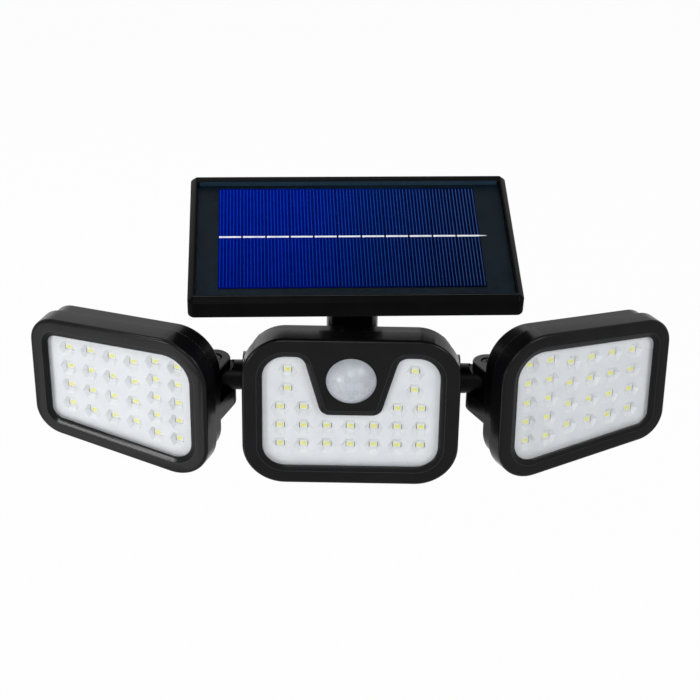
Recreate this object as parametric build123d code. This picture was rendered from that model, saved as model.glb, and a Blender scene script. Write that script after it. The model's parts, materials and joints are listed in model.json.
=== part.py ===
from build123d import *
import math
import os

# Solar wall lamp: a tilting panel over a centre head with a motion sensor and two hinged side heads.
# Millimetres and degrees. +Z is up, +Y points into the wall, the lamp faces -Y.
# The origin is the middle of the wall plate's back face.

os.makedirs("parts", exist_ok=True)

# Where the lamp stands in front of the wall
reach = 96.0            # wall to the plane of the LEDs
arm_height = 38.0       # arm axis above the middle of the wall plate
arm_setback = 31.0      # arm axis behind the plane of the LEDs

# Stored pose
left_yaw = 23.0         # side heads turned outwards from straight ahead
right_yaw = 27.5
left_pitch = 4.3        # side heads tipped face down
right_pitch = -1.4
panel_turn = 3.1        # panel turned on its neck
panel_tilt = 14.0       # panel's front edge tipped down

# Clearances
running = 0.06          # radial clearance of a shaft in its bore
hole_ease = 0.05        # radial clearance of a screw in its hole
seat_ease = 0.2         # clearance round a piece that drops into a pocket
side_gap = 0.3          # gap between faces that move past each other

# Centre head outline
centre_width = 97.7
centre_height = 74.0
centre_rise = 0.6       # middle of the centre head above the arm axis
centre_corner = 19.5

# Side head outline, a trapezoid that is taller at the hinge
side_width = 90.4
side_shift = 0.5        # middle of the outline outside the middle of the LEDs
side_sink = 0.35        # and below it
side_inner_height = 75.0
side_outer_height = 60.7
side_inner_foot_corner = 18.5
side_inner_top_corner = 21.5
side_outer_corner = 13.5

# Section through a head, from the bezel's face to the back of the shell
bezel_front = 5.2       # bezel face in front of the plane of the LEDs
bezel_depth = 9.5
bezel_edge = 1.5        # rounding of the outer front edge
centre_rim = 6.5        # flat border of the bezel's face
side_rim = 6.05
bevel_width = 2.65
bevel_depth = 1.1
lip_depth = 0.4         # straight lip between the bevel and the lens
lens_thick = 1.0
pocket_inset = 6.2      # edge of the pocket for lens, reflector and board inside the outline
board_thick = 1.2
shell_depth = 9.8
shell_inset = 2.2       # shell outline inside the bezel outline
shell_edge = 1.0        # rounding of the shell's back edge
shell_wall = 3.0
shell_back = 2.5
gasket_inset = 3.0
gasket_width = 1.0
gasket_thick = 0.8

# Case screws
case_screw = 1.0        # radius of the shank
case_head = 1.8         # radius of the head
case_head_height = 1.4
case_inset = 5.4        # screw axis inside the rounded corner
case_wall = 1.0         # plastic left between a screw hole and a pocket
case_recess = 4.5       # depth of the head's recess in the shell
case_bite = 5.2         # length of the screw inside the bezel
case_boss = 3.2

# LEDs
led_width = 3.5
led_tall = 2.8
led_height = 0.7
led_ease = 0.35         # gap between an LED and its window in the reflector
cell_radius_out = 4.4   # hexagonal reflector cell round each LED, at its mouth
cell_radius_in = 2.9    # and at its floor
cell_floor = 0.3        # floor of the cell in front of the LED's face
plate_gap = 0.15        # air between the lens and the reflector
centre_pitch_x = 10.6
centre_pitch_z = 9.54
centre_columns = 7
centre_row_drop = 18.0  # lowest row of LEDs below the arm axis
lobe_shift = 3.3        # LEDs beside the sensor, nearer the middle than the outer column
side_pitch_x = 11.2
side_pitch_outer = 10.2  # upright pitch in the outermost column
side_pitch_middle = 10.85
side_pitch_inner = 9.75

# Window and sensor tongue of the centre bezel
tongue_half_top = 21.4
tongue_half_foot = 13.3
tongue_below = 18.1     # tongue's foot below the middle of the sensor dome
tongue_corner = 5.0
dome_below = 20.3       # middle of the sensor dome below the top of the head
dome_radius = 11.2
dome_bulge = 6.8
dome_wall = 1.0
dome_flange = 13.2
dome_flange_thick = 1.3
sensor_radius = 4.6
sensor_front = -0.6     # front of the sensor can

# Control board and mode button
control_half_width = 20.0
control_below = 11.6    # board's top below the top of the head
control_above = 6.4     # board's foot above the foot of the head
control_front = 4.9
control_thick = 1.6
control_screw_x = 15.0
control_screw_below = 5.0
control_screw_above = 6.0
control_screw = 0.9
control_screw_head = 1.7
control_boss = 2.4
button_above = 10.4     # button axis above the foot of the head
button_radius = 3.5
button_flange = 4.3
button_flange_thick = 1.0
button_proud = 1.8
button_travel = 0.8
switch_size = 6.0

# Rear box of the centre housing
box_half_width = 45.0
box_top = 12.5
box_above = 5.0         # box's foot above the button axis
box_back = 52.0         # behind the plane of the LEDs
box_wall = 3.0
box_corner = 4.0
box_edge = 3.0
collar_radius = 11.0
collar_proud = 5.2
socket_radius = 15.0    # boss that carries the neck
socket_proud = 2.0

# Battery
cell_radius = 9.2
cell_length = 65.0
cell_above = 13.5       # cell axis above the box's foot
cell_nub_radius = 2.8
cell_nub = 1.0
cradle_length = 58.0
cradle_width = 24.0
cradle_tall = 7.5

# Arms and head hinges
hinge_x = 63.2          # hinge axis from the lamp's middle
arm_radius = 7.0
journal_radius = 6.0
arm_washer_radius = 7.4
arm_washer_thick = 1.5
arm_screw = 1.5
arm_screw_length = 9.0
arm_screw_head = 3.2
arm_screw_head_height = 2.2
eye_half_height = 5.0
head_offset = 32.6      # hinge axis to the middle of the LEDs, along the head
head_forward = 27.7     # hinge axis to the plane of the LEDs
head_drop = 0.5         # middle of the LEDs below the arm axis
upper_lug_radius = 7.2
upper_lug_top = 9.4
lower_lug_radius = 9.6
lower_lug_foot = 15.0
lug_edge = 0.8
pivot_screw = 2.0
pivot_head = 3.2
pivot_head_height = 2.2
pivot_recess = 2.6
pivot_nut_width = 7.0
pivot_nut_height = 3.2

# Neck and panel hinge
post_radius = 11.7
post_shoulder = 40.0    # top of the round post above the arm axis
post_edge = 1.2
tilt_height = 51.0      # tilt axis above the arm axis
tongue_half = 5.0
tongue_radius = 8.0
neck_journal = 7.0
neck_washer_radius = 10.5
neck_washer_thick = 1.5
neck_screw = 1.5
neck_screw_length = 10.0
neck_screw_head = 3.4
neck_screw_head_height = 2.0
lug_thick = 5.0
tilt_bolt = 2.5
tilt_head = 4.5
tilt_head_height = 3.5
tilt_nut_width = 8.0
tilt_nut_height = 4.0
bolt_tip = 0.8          # thread beyond a nut

# Panel
panel_length = 145.0
panel_width = 89.2
panel_shift_x = -0.8    # middle of the tray off the tilt axis' middle
panel_shift_y = 1.5
panel_thick = 10.5
panel_corner = 3.0
panel_edge = 1.2        # rounding of the lower edge
panel_chamfer = 2.4     # bevel of the upper edge
panel_rim = 3.1
panel_rear_rim = 5.9
glass_recess = 0.6      # glass below the top of the rim
panel_floor = 2.5
panel_ledge = 5.0       # ledge that carries the laminate
panel_drop = 13.5       # tilt axis below the tray
backsheet_thick = 1.0
cell_count = 11
cells_length = 116.7
cells_width = 70.1
cells_gap = 0.5
cells_shift_x = -1.2    # middle of the cells off the tray's middle
cells_shift_y = 0.7
cell_thick = 0.3
ribbon_width = 1.5
ribbon_thick = 0.15
ribbon_gap = 1.1
glass_thick = 1.3
bracket_length = 44.0
bracket_width = 34.0
bracket_thick = 3.0
bracket_edge = 4.0
tray_screw = 1.4
tray_screw_head = 2.8
tray_screw_head_height = 1.8
tray_screw_bite = 3.2
tray_boss = 3.0
tray_boss_floor = 2.0   # plastic above the end of a tray screw
tray_screw_x = 17.0
tray_screw_y = 12.0

# Wall plate and wall hinge
plate_width = 56.0
plate_tall = 52.0
plate_thick = 5.0
plate_corner = 7.0
plate_edge = 1.5
wall_hole = 2.4
wall_hole_x = 40.0      # distance between wall holes
wall_hole_z = 36.0
knuckle_radius = 9.0
knuckle_half = 6.0      # half thickness of the bracket arm's tongue
knuckle_out = 20.0      # wall hinge axis in front of the wall
knuckle_height = 15.0
ear_thick = 6.0
wall_bolt = 2.5
flange_length = 44.0
flange_margin_top = 5.5
flange_margin_foot = 2.0
flange_thick = 4.0
flange_corner = 4.0
flange_screw = 1.5
flange_screw_head = 3.0
flange_screw_head_height = 2.2
flange_screw_bite = 7.0
flange_screw_x = 16.0
flange_screw_margin = 5.0
flange_boss = 3.2

# Levels along Y that follow from the section, 0 at the plane of the LEDs
face_y = -bezel_front
lens_front = face_y + bevel_depth + lip_depth
lens_back = lens_front + lens_thick
plate_front = lens_back + plate_gap
board_back = led_height + board_thick
seam_y = face_y + bezel_depth
shell_y = seam_y + shell_depth
control_back = control_front + control_thick
collar_x = box_half_width + collar_proud
arm_stop = collar_x + side_gap
centre_rim_inner = centre_rim + bevel_width
side_rim_inner = side_rim + bevel_width
corner_room = case_inset + case_screw + hole_ease + case_wall

# Heights in the centre head, 0 at the arm axis
centre_top = centre_rise + centre_height / 2
centre_foot = centre_rise - centre_height / 2
dome_height = centre_top - dome_below
tongue_foot = dome_height - tongue_below
control_top = centre_top - control_below
control_foot = centre_foot + control_above
control_screw_top = control_top - control_screw_below
control_screw_foot = control_foot + control_screw_above
button_height = centre_foot + button_above
box_foot = button_height + box_above
cell_height = box_foot + cell_above
flange_top = box_top - flange_margin_top
flange_foot = box_foot + flange_margin_foot

lamp = Location((0, -reach, arm_height))


# Outlines: corner points run anticlockwise, in X and Z
def inset_points(points, depth):
    moved = []
    for i, point in enumerate(points):
        before = Vector(point) - Vector(points[i - 1])
        after = Vector(points[(i + 1) % len(points)]) - Vector(point)
        first = Vector(-before.Y, before.X).normalized()
        second = Vector(-after.Y, after.X).normalized()
        moved.append(Vector(point) + (first + second) * (depth / (1 + first.dot(second))))
    return moved


def turn_sign(points, i):
    before = Vector(points[i]) - Vector(points[i - 1])
    after = Vector(points[(i + 1) % len(points)]) - Vector(points[i])
    return 1 if before.cross(after).Z > 0 else -1


def rounded_face(points, radii, depth=0.0):
    rounds = [max(r - depth * turn_sign(points, i), 0.1) for i, r in enumerate(radii)]
    return make_face(FilletPolyline(*inset_points(points, depth), radius=rounds, close=True))


# A pocket's corner keeps room for the case screw between it and the outline
def pocket_face(points, radii, ease=0.0):
    cut = (pocket_inset * math.sqrt(2) - corner_room) / (math.sqrt(2) - 1)
    edges = [(p.X, p.Y) for p in inset_points(points, pocket_inset)]
    return rounded_face(edges, [max(r - cut, 2 * ease) for r in radii], ease)


def corner_spots(points, radii, depth):
    spots = []
    for i, radius in enumerate(radii):
        corner = Vector(points[i])
        one = (Vector(points[i - 1]) - corner).normalized()
        two = (Vector(points[(i + 1) % len(points)]) - corner).normalized()
        middle = (one + two).normalized()
        half = math.radians(one.get_angle(two)) / 2
        spots.append(corner + middle * (radius / math.sin(half) - radius + depth))
    return spots


# Solids between two levels of Y, made from a face drawn in X and Z
def level(y):
    return Plane(origin=(0, y, 0), x_dir=(1, 0, 0), z_dir=(0, -1, 0))


def slab(face, back, front):
    return extrude(level(back) * face, amount=back - front)


def ruled(front_face, front, back_face, back):
    return loft([level(front) * front_face, level(back) * back_face], ruled=True)


def rod_y(radius, back, front, x=0.0, z=0.0):
    return slab(Pos(x, z) * Circle(radius), back, front)


def rod_x(radius, low, high, y=0.0, z=0.0):
    return extrude(Plane(origin=(low, y, z), z_dir=(1, 0, 0)) * Circle(radius), amount=high - low)


def rod_z(radius, low, high, x=0.0, y=0.0):
    return Pos(x, y, low) * extrude(Circle(radius), amount=high - low)


def block(x, y, z):
    return Pos(x[0], y[0], z[0]) * Box(x[1] - x[0], y[1] - y[0], z[1] - z[0], align=Align.MIN)


# Fasteners: the head stands on Z = 0 and the shank points down
def screw(radius, length, head_radius, head_height):
    shank = Cylinder(radius, length, align=(Align.CENTER, Align.CENTER, Align.MAX))
    head = Cylinder(head_radius, head_height, align=(Align.CENTER, Align.CENTER, Align.MIN))
    head = fillet(head.faces().sort_by(Axis.Z)[-1].edges(), head_height * 0.4)
    bar = Box(head_radius * 1.1, head_radius * 0.28, head_height,
              align=(Align.CENTER, Align.CENTER, Align.MIN))
    cross = Pos(0, 0, head_height * 0.5) * (bar + Rot(Z=90) * bar)
    return shank + head - cross


def hex_bolt(radius, length, head_radius, head_height):
    head = extrude(RegularPolygon(head_radius, 6), amount=head_height)
    return Cylinder(radius, length, align=(Align.CENTER, Align.CENTER, Align.MAX)) + head


def hex_nut(width, height, radius):
    face = RegularPolygon(width / 2, 6, major_radius=False) - Circle(radius + hole_ease)
    return extrude(face, amount=height)


def washer(radius, thick, hole):
    return extrude(Circle(radius) - Circle(hole + hole_ease), amount=thick)


facing_back = Plane(origin=(0, 0, 0), x_dir=(1, 0, 0), z_dir=(0, 1, 0))
facing_front = Plane(origin=(0, 0, 0), x_dir=(1, 0, 0), z_dir=(0, -1, 0))
facing_left = Plane(origin=(0, 0, 0), x_dir=(0, 1, 0), z_dir=(-1, 0, 0))
facing_right = Plane(origin=(0, 0, 0), x_dir=(0, 1, 0), z_dir=(1, 0, 0))


# Outlines of the heads, about the middle of their LEDs on the arm axis' height
def centre_outline():
    half = centre_width / 2
    points = [(-half, centre_foot), (half, centre_foot), (half, centre_top), (-half, centre_top)]
    return points, [centre_corner] * 4


def side_outline():
    inner = side_shift - side_width / 2
    outer = side_shift + side_width / 2
    tall = side_inner_height / 2
    low = side_outer_height / 2
    points = [(inner, -tall), (outer, -low), (outer, low), (inner, tall)]
    points = [(x, z - side_sink) for x, z in points]
    return points, [side_inner_foot_corner, side_outer_corner, side_outer_corner, side_inner_top_corner]


# Opening of the centre bezel at the foot of the bevel, cut into by the sensor tongue
def centre_window():
    points, radii = centre_outline()
    low, _, high, _ = inset_points(points, centre_rim_inner)
    corner = centre_corner - centre_rim_inner
    window = [(low.X, low.Y), (high.X, low.Y), (high.X, high.Y), (tongue_half_top, high.Y),
              (tongue_half_foot, tongue_foot), (-tongue_half_foot, tongue_foot),
              (-tongue_half_top, high.Y), (low.X, high.Y)]
    return window, [corner] * 3 + [tongue_corner] * 4 + [corner]


# Pieces that all three heads share
def bezel_blank(points, radii):
    body = slab(rounded_face(points, radii), seam_y, face_y)
    body = fillet(body.faces().sort_by(Axis.Y)[0].edges(), bezel_edge)
    body -= slab(pocket_face(points, radii), seam_y, lens_front)
    for spot in corner_spots(points, radii, case_inset):
        body -= rod_y(case_screw + hole_ease, seam_y, seam_y - case_bite - hole_ease, spot.X, spot.Y)
    return body


def bevel_cut(window, radii):
    at_face = rounded_face(window, radii, -bevel_width)
    at_foot = rounded_face(window, radii)
    cut = ruled(at_face, face_y, at_foot, face_y + bevel_depth)
    return cut + slab(at_foot, lens_front, face_y + bevel_depth)


def gasket(points, radii):
    outer = rounded_face(points, radii, gasket_inset)
    inner = rounded_face(points, radii, gasket_inset + gasket_width)
    return slab(outer - inner, seam_y + gasket_thick, seam_y)


def shell(points, radii):
    body = slab(rounded_face(points, radii, shell_inset), shell_y, seam_y)
    body = fillet(body.faces().sort_by(Axis.Y)[-1].edges(), shell_edge)
    body -= slab(rounded_face(points, radii, shell_inset + shell_wall), shell_y - shell_back, seam_y)
    spots = corner_spots(points, radii, case_inset)
    for spot in spots:
        body += rod_y(case_boss, shell_y - shell_back, seam_y, spot.X, spot.Y)
    for spot in spots:
        body -= rod_y(case_screw + hole_ease, shell_y, seam_y, spot.X, spot.Y)
        body -= rod_y(case_head + seat_ease, shell_y, shell_y - case_recess, spot.X, spot.Y)
    return body - gasket(points, radii)


def case_screws(points, radii):
    seat = shell_y - case_recess
    one = facing_back * screw(case_screw, seat - seam_y + case_bite, case_head, case_head_height)
    return Compound([Pos(s.X, seat, s.Y) * one for s in corner_spots(points, radii, case_inset)])


# White plate between the lens and the board, with a hexagonal cell round each LED
def reflector(face, spots):
    body = slab(face, led_height, plate_front)
    mouth = RegularPolygon(cell_radius_out, 6)
    floor = RegularPolygon(cell_radius_in, 6)
    cell = ruled(mouth, plate_front, floor, -cell_floor)
    window = Rectangle(led_width + 2 * led_ease, led_tall + 2 * led_ease)
    cell += slab(window, led_height, plate_front)
    return body - [Pos(x, 0, z) * cell for x, z in spots]


def leds(spots):
    one = Box(led_width, led_height, led_tall, align=(Align.CENTER, Align.MIN, Align.CENTER))
    return Compound([Pos(x, 0, z) * one for x, z in spots])


# Centre head
def centre_led_spots():
    half = (centre_columns - 1) / 2
    rows = [-centre_row_drop + centre_pitch_z * k for k in range(5)]
    columns = [(i - half) * centre_pitch_x for i in range(centre_columns)]
    spots = [(x, z) for z in rows[:2] for x in columns]
    spots += [(x, rows[2]) for x in columns[:2] + columns[-2:]]
    spots += [(side * (half * centre_pitch_x - lobe_shift), z) for z in rows[3:] for side in (-1, 1)]
    return spots


def centre_bezel():
    body = bezel_blank(*centre_outline())
    body -= bevel_cut(*centre_window())
    return body - rod_y(dome_radius + seat_ease / 2, lens_front, face_y, z=dome_height)


def centre_lens():
    points, radii = centre_outline()
    body = slab(pocket_face(points, radii, seat_ease), lens_back, lens_front)
    return body - rod_y(dome_flange + seat_ease, lens_back, lens_front, z=dome_height)


def centre_reflector():
    points, radii = centre_outline()
    body = reflector(pocket_face(points, radii, seat_ease), centre_led_spots())
    return body - rod_y(dome_flange + seat_ease, led_height, plate_front, z=dome_height)


def centre_led_board():
    points, radii = centre_outline()
    body = slab(pocket_face(points, radii, seat_ease), board_back, led_height)
    return body - rod_y(sensor_radius + seat_ease, board_back, led_height, z=dome_height)


def pir_dome():
    ball = (dome_radius ** 2 + dome_bulge ** 2) / (2 * dome_bulge)
    middle = face_y - dome_bulge + ball
    bore = math.sqrt((ball - dome_wall) ** 2 - (middle - face_y) ** 2)
    back = lens_front + dome_flange_thick
    half_out = math.asin(dome_radius / ball) / 2
    half_in = math.asin(bore / (ball - dome_wall)) / 2
    tip = (0, face_y - dome_bulge)
    tip_in = (0, face_y - dome_bulge + dome_wall)
    bend = (ball * math.sin(half_out), middle - ball * math.cos(half_out))
    bend_in = ((ball - dome_wall) * math.sin(half_in), middle - (ball - dome_wall) * math.cos(half_in))
    edge = ThreePointArc(tip, bend, (dome_radius, face_y)).edges()
    edge += Polyline((dome_radius, face_y), (dome_radius, lens_front), (dome_flange, lens_front),
                     (dome_flange, back), (bore, back), (bore, face_y)).edges()
    edge += ThreePointArc((bore, face_y), bend_in, tip_in).edges()
    edge += Line(tip_in, tip).edges()
    return Pos(0, 0, dome_height) * revolve(make_face(edge), axis=Axis.Y)


def pir_sensor():
    return rod_y(sensor_radius, control_front, sensor_front, z=dome_height)


def control_spots():
    heights = (control_screw_top, control_screw_foot)
    return [(side * control_screw_x, z) for side in (-1, 1) for z in heights]


def control_board():
    body = block((-control_half_width, control_half_width), (control_front, control_back),
                 (control_foot, control_top))
    for x, z in control_spots():
        body -= rod_y(control_screw + hole_ease, control_back, control_front, x, z)
    return body


def control_screws():
    length = shell_y - shell_back - control_front
    one = facing_front * screw(control_screw, length, control_screw_head, control_screw_head * 0.7)
    return Compound([Pos(x, control_front, z) * one for x, z in control_spots()])


def mode_switch():
    half = switch_size / 2
    pressed = shell_y - shell_back - side_gap - button_flange_thick - button_travel
    tall = pressed - side_gap - control_back
    body = block((-half, half), (control_back, control_back + tall * 0.7),
                 (button_height - half, button_height + half))
    return body + rod_y(half / 2, control_back + tall, control_back, z=button_height)


def mode_button():
    inside = shell_y - shell_back - side_gap
    cap = rod_y(button_radius, shell_y + button_proud, inside - button_flange_thick, z=button_height)
    cap = fillet(cap.faces().sort_by(Axis.Y)[-1].edges(), button_proud * 0.4)
    return cap + rod_y(button_flange, inside, inside - button_flange_thick, z=button_height)


def box_face(depth):
    height = box_top - box_foot
    return Pos(0, box_foot + height / 2) * RectangleRounded(
        2 * (box_half_width - depth), height - 2 * depth, box_corner - depth)


def flange_spots():
    heights = (flange_foot + flange_screw_margin, flange_top - flange_screw_margin)
    return [(side * flange_screw_x, z) for side in (-1, 1) for z in heights]


def centre_housing():
    body = shell(*centre_outline())
    box = slab(box_face(0), box_back, shell_y - shell_back)
    body += fillet(box.faces().sort_by(Axis.Y)[-1].edges(), box_edge)
    body += rod_x(collar_radius, -collar_x, collar_x, arm_setback)
    body += rod_z(socket_radius, box_top - box_wall, box_top + socket_proud, y=arm_setback)
    body -= slab(box_face(box_wall), box_back - box_wall, shell_y - shell_back)
    for x, z in flange_spots():
        body += rod_y(flange_boss, box_back, box_back - flange_screw_bite, x, z)
    for x, z in flange_spots():
        body -= rod_y(flange_screw + hole_ease, box_back, box_back - flange_screw_bite, x, z)
    for x, z in control_spots():
        body += rod_y(control_boss, shell_y - shell_back, control_back, x, z)
    for x, z in control_spots():
        body -= rod_y(control_screw + hole_ease, shell_y - shell_back, control_back, x, z)
    body -= rod_x(journal_radius + running, -collar_x, collar_x, arm_setback)
    body -= rod_z(neck_journal + running, box_top - box_wall, box_top + socket_proud, y=arm_setback)
    return body - rod_y(button_radius + side_gap, shell_y, shell_y - shell_back, z=button_height)


def battery_cell():
    half = cell_length / 2
    body = rod_x(cell_radius, -half, half, arm_setback, cell_height)
    return body + rod_x(cell_nub_radius, half, half + cell_nub, arm_setback, cell_height)


def battery_cradle():
    foot = box_foot + box_wall
    half = cradle_width / 2
    body = block((-cradle_length / 2, cradle_length / 2), (arm_setback - half, arm_setback + half),
                 (foot, foot + cradle_tall))
    return body - rod_x(cell_radius + hole_ease, -cradle_length, cradle_length, arm_setback, cell_height)


# Side arm, about the crossing of the arm axis and the hinge axis, X pointing away from the lamp
def arm():
    shoulder = arm_stop - hinge_x
    end = box_half_width - box_wall - side_gap - hinge_x
    body = rod_x(arm_radius, shoulder, 0) + rod_z(arm_radius, -eye_half_height, eye_half_height)
    crown = math.sqrt(arm_radius ** 2 - eye_half_height ** 2)
    body -= rod_z(math.hypot(upper_lug_radius, crown) + side_gap, eye_half_height, arm_radius)
    body -= rod_z(math.hypot(lower_lug_radius, crown) + side_gap, -arm_radius, -eye_half_height)
    body += rod_x(journal_radius, end, shoulder)
    body -= rod_x(arm_screw + hole_ease, end, end + arm_screw_length + hole_ease)
    return body - rod_z(pivot_screw + running, -eye_half_height, eye_half_height)


def arm_washer():
    end = box_half_width - box_wall - side_gap - hinge_x
    return Pos(end, 0, 0) * (facing_left * washer(arm_washer_radius, arm_washer_thick, arm_screw))


def arm_retaining_screw():
    seat = box_half_width - box_wall - side_gap - hinge_x - arm_washer_thick
    one = screw(arm_screw, arm_screw_length + arm_washer_thick, arm_screw_head, arm_screw_head_height)
    return Pos(seat, 0, 0) * (facing_left * one)


# Side head, about the middle of its LEDs, X pointing away from the lamp
def side_led_spots():
    columns = [(4, side_pitch_outer)] + 3 * [(4, side_pitch_middle)] + 2 * [(5, side_pitch_inner)]
    half = (len(columns) - 1) / 2
    spots = []
    for j, (count, pitch) in enumerate(columns):
        spots += [((half - j) * side_pitch_x, (k - (count - 1) / 2) * pitch) for k in range(count)]
    return spots


def side_bezel():
    points, radii = side_outline()
    window = [(p.X, p.Y) for p in inset_points(points, side_rim_inner)]
    return bezel_blank(points, radii) - bevel_cut(window, [max(r - side_rim_inner, 0.1) for r in radii])


def side_lens():
    return slab(pocket_face(*side_outline(), seat_ease), lens_back, lens_front)


def side_reflector():
    return reflector(pocket_face(*side_outline(), seat_ease), side_led_spots())


def side_led_board():
    return slab(pocket_face(*side_outline(), seat_ease), board_back, led_height)


def side_housing():
    root = shell_y - shell_back / 2
    upper_foot = eye_half_height + side_gap
    spine = head_forward - arm_radius - 2 * side_gap
    upper = rod_z(upper_lug_radius, upper_foot, upper_lug_top, y=head_forward)
    upper += block((-upper_lug_radius, upper_lug_radius), (root, head_forward), (upper_foot, upper_lug_top))
    lower = rod_z(lower_lug_radius, -lower_lug_foot, -upper_foot, y=head_forward)
    lower += block((-lower_lug_radius, lower_lug_radius), (root, head_forward),
                   (-lower_lug_foot, -upper_foot))
    lower = fillet(lower.faces().sort_by(Axis.Z)[0].edges(), lug_edge)
    upper = fillet(upper.faces().sort_by(Axis.Z)[-1].edges(), lug_edge)
    hinge = upper + lower + block((-upper_lug_radius, upper_lug_radius), (root, spine),
                                  (-upper_foot, upper_foot))
    hinge -= rod_z(pivot_screw + hole_ease, -lower_lug_foot, upper_lug_top, y=head_forward)
    hinge -= rod_z(pivot_head + seat_ease, upper_lug_top - pivot_recess, upper_lug_top, y=head_forward)
    pocket = RegularPolygon(pivot_nut_width / 2 + seat_ease, 6, major_radius=False)
    hinge -= Pos(0, head_forward, -lower_lug_foot) * extrude(pocket, amount=pivot_nut_height + seat_ease)
    return shell(*side_outline()) + Pos(-head_offset, 0, head_drop) * hinge


def pivot_screw_piece():
    seat = upper_lug_top - pivot_recess
    one = screw(pivot_screw, seat + lower_lug_foot - bolt_tip, pivot_head, pivot_head_height)
    return Pos(-head_offset, head_forward, head_drop + seat) * one


def pivot_nut():
    one = hex_nut(pivot_nut_width, pivot_nut_height, pivot_screw)
    return Pos(-head_offset, head_forward, head_drop - lower_lug_foot + seat_ease) * one


# Neck, on its swivel axis at the arm axis' height
def neck_post():
    foot = box_top + socket_proud + side_gap
    end = box_top - box_wall - side_gap
    post = rod_z(post_radius, foot, post_shoulder)
    post = fillet(post.faces().sort_by(Axis.Z)[-1].edges(), post_edge)
    post += block((-tongue_half, tongue_half), (-tongue_radius, tongue_radius),
                  (post_shoulder, tilt_height))
    post += rod_x(tongue_radius, -tongue_half, tongue_half, z=tilt_height)
    post += rod_z(neck_journal, end, foot)
    post -= rod_z(neck_screw + hole_ease, end, end + neck_screw_length + hole_ease)
    return post - rod_x(tilt_bolt + running, -tongue_half, tongue_half, z=tilt_height)


def neck_washer():
    end = box_top - box_wall - side_gap
    return Pos(0, 0, end - neck_washer_thick) * washer(neck_washer_radius, neck_washer_thick, neck_screw)


def neck_retaining_screw():
    seat = box_top - box_wall - side_gap - neck_washer_thick
    one = screw(neck_screw, neck_screw_length + neck_washer_thick, neck_screw_head, neck_screw_head_height)
    return Pos(0, 0, seat) * (Rot(X=180) * one)


# Panel, about its tilt axis
tray_foot = panel_drop
tray_top = panel_drop + panel_thick
glass_top = tray_top - glass_recess
laminate_foot = glass_top - backsheet_thick - cell_thick - ribbon_thick - glass_thick
cells_foot = laminate_foot + backsheet_thick
on_tray = Pos(panel_shift_x, panel_shift_y, 0)
on_ledge = on_tray * Pos(0, (panel_rim - panel_rear_rim) / 2, 0)


def tray_spots():
    return [(x * tray_screw_x, y * tray_screw_y) for x in (-1, 1) for y in (-1, 1)]


# Opening in the tray's top, made smaller by the given margin
def tray_opening(margin, corner):
    length = panel_length - 2 * (panel_rim + margin)
    width = panel_width - panel_rim - panel_rear_rim - 2 * margin
    return RectangleRounded(length, width, corner)


def panel_tray():
    outside = RectangleRounded(panel_length, panel_width, panel_corner)
    body = on_tray * Pos(0, 0, tray_foot) * extrude(outside, amount=panel_thick)
    body = fillet(body.faces().sort_by(Axis.Z)[0].edges(), panel_edge)
    body = chamfer(body.faces().sort_by(Axis.Z)[-1].edges(), panel_chamfer)
    seat = tray_opening(0, panel_corner / 2)
    body -= on_ledge * Pos(0, 0, laminate_foot) * extrude(seat, amount=panel_thick)
    floor = tray_foot + panel_floor
    hollow = tray_opening(panel_ledge, panel_corner)
    body -= on_ledge * Pos(0, 0, floor) * extrude(hollow, amount=laminate_foot - floor)
    for x, y in tray_spots():
        body += rod_z(tray_boss, tray_foot, tray_foot + tray_screw_bite + tray_boss_floor, x, y)
    for x, y in tray_spots():
        body -= rod_z(tray_screw + hole_ease, tray_foot, tray_foot + tray_screw_bite, x, y)
    return body


def laminate_sheet(foot, thick):
    sheet = tray_opening(seat_ease, panel_corner / 2 - seat_ease)
    return on_ledge * Pos(0, 0, foot) * extrude(sheet, amount=thick)


def panel_backsheet():
    return laminate_sheet(laminate_foot, backsheet_thick)


def panel_glass():
    return laminate_sheet(glass_top - glass_thick, glass_thick)


def cell_places():
    pitch = cells_length / cell_count
    return [cells_shift_x + (i - (cell_count - 1) / 2) * pitch for i in range(cell_count)]


def solar_cells():
    one = Box(cells_length / cell_count - cells_gap, cells_width, cell_thick,
              align=(Align.CENTER, Align.CENTER, Align.MIN))
    return on_tray * Compound([Pos(x, cells_shift_y, cells_foot) * one for x in cell_places()])


def bus_ribbons():
    one = Box(cells_length / cell_count - ribbon_gap, ribbon_width, ribbon_thick,
              align=(Align.CENTER, Align.CENTER, Align.MIN))
    places = [Pos(x, cells_shift_y, cells_foot + cell_thick) for x in cell_places()]
    return on_tray * Compound([place * one for place in places])


def panel_bracket():
    base = Pos(0, 0, tray_foot - bracket_thick) * extrude(
        RectangleRounded(bracket_length, bracket_width, bracket_edge), amount=bracket_thick)
    inner = tongue_half + side_gap
    for low, high in ((inner, inner + lug_thick), (-inner - lug_thick, -inner)):
        base += rod_x(tongue_radius, low, high)
        base += block((low, high), (-tongue_radius, tongue_radius), (0, tray_foot - bracket_thick / 2))
    for x, y in tray_spots():
        base -= rod_z(tray_screw + hole_ease, tray_foot - bracket_thick, tray_foot, x, y)
    reach_x = inner + lug_thick
    return base - rod_x(tilt_bolt + hole_ease, -reach_x, reach_x)


def panel_bracket_screws():
    length = tray_screw_bite + bracket_thick - bolt_tip
    one = Rot(X=180) * screw(tray_screw, length, tray_screw_head, tray_screw_head_height)
    return Compound([Pos(x, y, tray_foot - bracket_thick) * one for x, y in tray_spots()])


def tilt_bolt_piece():
    seat = tongue_half + side_gap + lug_thick
    length = 2 * seat + tilt_nut_height + bolt_tip
    return Pos(seat, 0, 0) * (facing_right * hex_bolt(tilt_bolt, length, tilt_head, tilt_head_height))


def tilt_nut():
    seat = tongue_half + side_gap + lug_thick
    return Pos(-seat, 0, 0) * (facing_left * hex_nut(tilt_nut_width, tilt_nut_height, tilt_bolt))


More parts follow.
